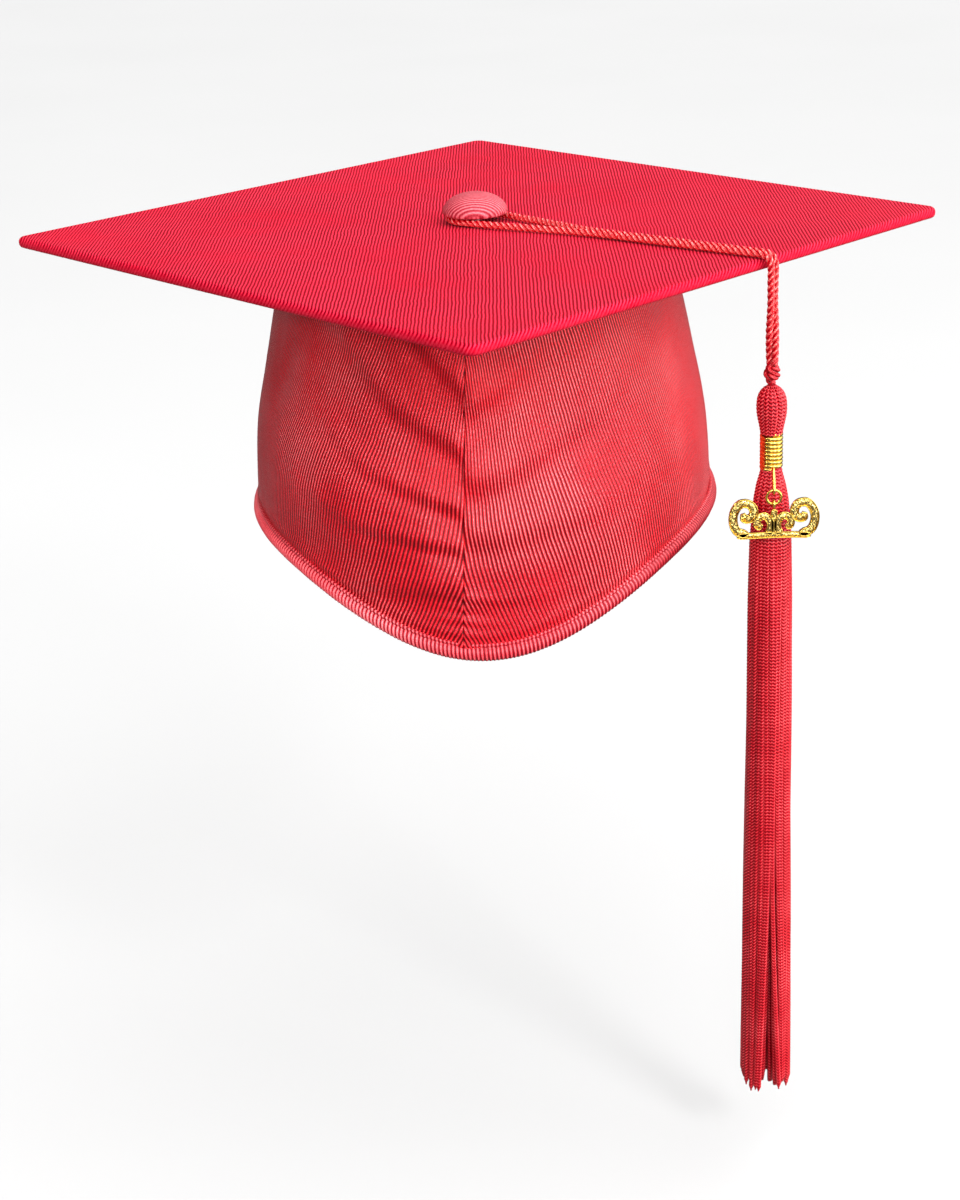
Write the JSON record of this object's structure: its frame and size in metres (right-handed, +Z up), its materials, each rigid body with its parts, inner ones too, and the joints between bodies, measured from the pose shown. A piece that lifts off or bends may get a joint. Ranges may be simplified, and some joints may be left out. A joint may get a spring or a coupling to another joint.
{
  "type": "graduation cap",
  "caption": "Mortarboard cap: fabric-covered square board on a soft skull cap, with a covered button, a looped cord and a long tassel with a gilt charm",
  "frame": {"origin": "middle of the head opening, level with the hem at the sides", "axes": "+Z up through the board, -Y to the front corner and front seam, +X to the wearer's left, which is the right side of a front view"},
  "size_m": [0.338, 0.338, 0.3331],
  "materials": {
    "board_satin": "ribbed satin, soft sheen",
    "skull_satin": "ribbed satin, soft sheen",
    "binding_satin": "cross-ribbed satin binding",
    "button_satin": "pale ribbed satin with strong sheen",
    "cord_rayon": "twisted glossy rayon cord",
    "tassel_rayon": "glossy chainette strands",
    "lining_cloth": "plain woven lining",
    "elastic_web": "ribbed woven elastic",
    "millboard": "grey pressed board",
    "button_plastic": "moulded plastic",
    "steel": "plated steel",
    "gilt": "polished gilt metal"
  },
  "bodies": {
    "cap": {"board_core": "millboard", "board_top_cover": "board_satin", "board_bottom_cover": "board_satin", "front_left_panel": "skull_satin", "front_right_panel": "skull_satin", "back_panel": "skull_satin", "left_stiffener": "lining_cloth", "right_stiffener": "lining_cloth", "front_seam_tape": "lining_cloth", "sweatband": "lining_cloth", "back_elastic": "elastic_web", "hem_binding": "binding_satin", "crown_panel": "lining_cloth", "button_cover": "button_satin", "button_shell": "button_plastic", "button_back": "button_plastic", "button_pin": "steel", "pin_washer": "steel"},
    "cord_loop": {"cord_run": "cord_rayon"},
    "cord_drop": {"cord_drop_near": "cord_rayon", "cord_drop_far": "cord_rayon"},
    "knot": {"tassel_knot": "cord_rayon"},
    "tassel": {"tassel_head": "tassel_rayon", "wire_band": "gilt", "tassel_skirt": "tassel_rayon", "charm_bail": "gilt"},
    "ring": {"charm_ring": "gilt"},
    "ornament": {"charm_ornament": "gilt"}
  },
  "joints": [
    {"name": "loop_swivel", "type": "hinge", "parent": "cap", "child": "cord_loop", "pos_m": [0, 0, 0.106], "axis": [0, 0, 1], "range_deg": [-18.5, 1.5]},
    {"name": "cord_swing", "type": "hinge", "parent": "cord_loop", "child": "cord_drop", "pos_m": [0.1004, -0.07429, 0.1042], "axis": [-0.5948, -0.8039, 0], "range_deg": [-8, 90]},
    {"name": "tassel_sway", "type": "hinge", "parent": "cord_drop", "child": "knot", "pos_m": [0.1004, -0.07429, 0.07105], "axis": [0.8039, -0.5948, 0], "range_deg": [-60, 60]},
    {"name": "tassel_twist", "type": "hinge", "parent": "knot", "child": "tassel", "pos_m": [0.1004, -0.07429, 0.0618], "axis": [0, 0, 1], "range_deg": [-180, 180]},
    {"name": "charm_swing", "type": "hinge", "parent": "tassel", "child": "ring", "pos_m": [0.1004, -0.08249, 0.0268], "axis": [-1, 0, 0], "range_deg": [0, 90]},
    {"name": "charm_tilt", "type": "hinge", "parent": "ring", "child": "ornament", "pos_m": [0.1004, -0.08249, 0.0243], "axis": [0, 1, 0], "range_deg": [-25, 25]}
  ]
}
